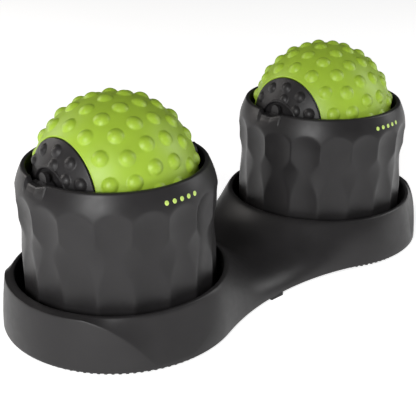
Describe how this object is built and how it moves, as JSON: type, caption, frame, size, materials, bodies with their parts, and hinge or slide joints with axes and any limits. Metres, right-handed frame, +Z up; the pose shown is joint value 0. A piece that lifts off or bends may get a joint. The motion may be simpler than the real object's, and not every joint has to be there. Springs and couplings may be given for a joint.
{
  "type": "foot massage roller",
  "caption": "Floor foot massager: knobbly balls that roll on axles in fluted hand-grip cups, which lift out of a waisted base.",
  "frame": {"origin": "on the floor, under the middle of the base's waist", "axes": "+X along the base from the left roller to the right one, +Z up, both ball axles along X"},
  "size_m": [0.274, 0.12, 0.1174],
  "materials": {
    "base_plastic": "fine satin texture, charcoal",
    "cup_plastic": "fine satin texture, charcoal",
    "cap_plastic": "satin, charcoal",
    "core_plastic": "moulded",
    "bearing_plastic": "smooth low-friction plastic",
    "lime_rubber": "soft satin, lime green",
    "steel": "bright",
    "grip_rubber": "matte black"
  },
  "bodies": {
    "base": {"base_shell": "base_plastic", "base_plate": "base_plastic", "base_screws": "steel", "left_grip_ring": "grip_rubber", "right_grip_ring": "grip_rubber", "waist_feet": "grip_rubber"},
    "left_cup": {"left_cup_shell": "cup_plastic", "left_cradle": "cup_plastic", "left_bushes": "bearing_plastic", "left_cup_cover": "cup_plastic", "left_cup_screws": "steel", "left_cup_pad": "grip_rubber"},
    "left_ball": {"left_axle": "steel", "left_outer_core": "core_plastic", "left_inner_core": "core_plastic", "left_ball_band": "lime_rubber", "left_outer_cap": "cap_plastic", "left_inner_cap": "cap_plastic"},
    "right_cup": {"right_cup_shell": "cup_plastic", "right_cradle": "cup_plastic", "right_bushes": "bearing_plastic", "right_cup_cover": "cup_plastic", "right_cup_screws": "steel", "right_cup_pad": "grip_rubber"},
    "right_ball": {"right_axle": "steel", "right_outer_core": "core_plastic", "right_inner_core": "core_plastic", "right_ball_band": "lime_rubber", "right_outer_cap": "cap_plastic", "right_inner_cap": "cap_plastic"}
  },
  "joints": [
    {"name": "left_lift", "type": "slide", "parent": "base", "child": "left_cup", "axis": [0, 0, 1], "range_m": [0, 0.06]},
    {"name": "left_roll", "type": "hinge", "parent": "left_cup", "child": "left_ball", "pos_m": [-0.077, 0, 0.076], "axis": [1, 0, 0], "continuous": true},
    {"name": "right_lift", "type": "slide", "parent": "base", "child": "right_cup", "axis": [0, 0, 1], "range_m": [0, 0.06]},
    {"name": "right_roll", "type": "hinge", "parent": "right_cup", "child": "right_ball", "pos_m": [0.077, 0, 0.076], "axis": [1, 0, 0], "continuous": true}
  ]
}
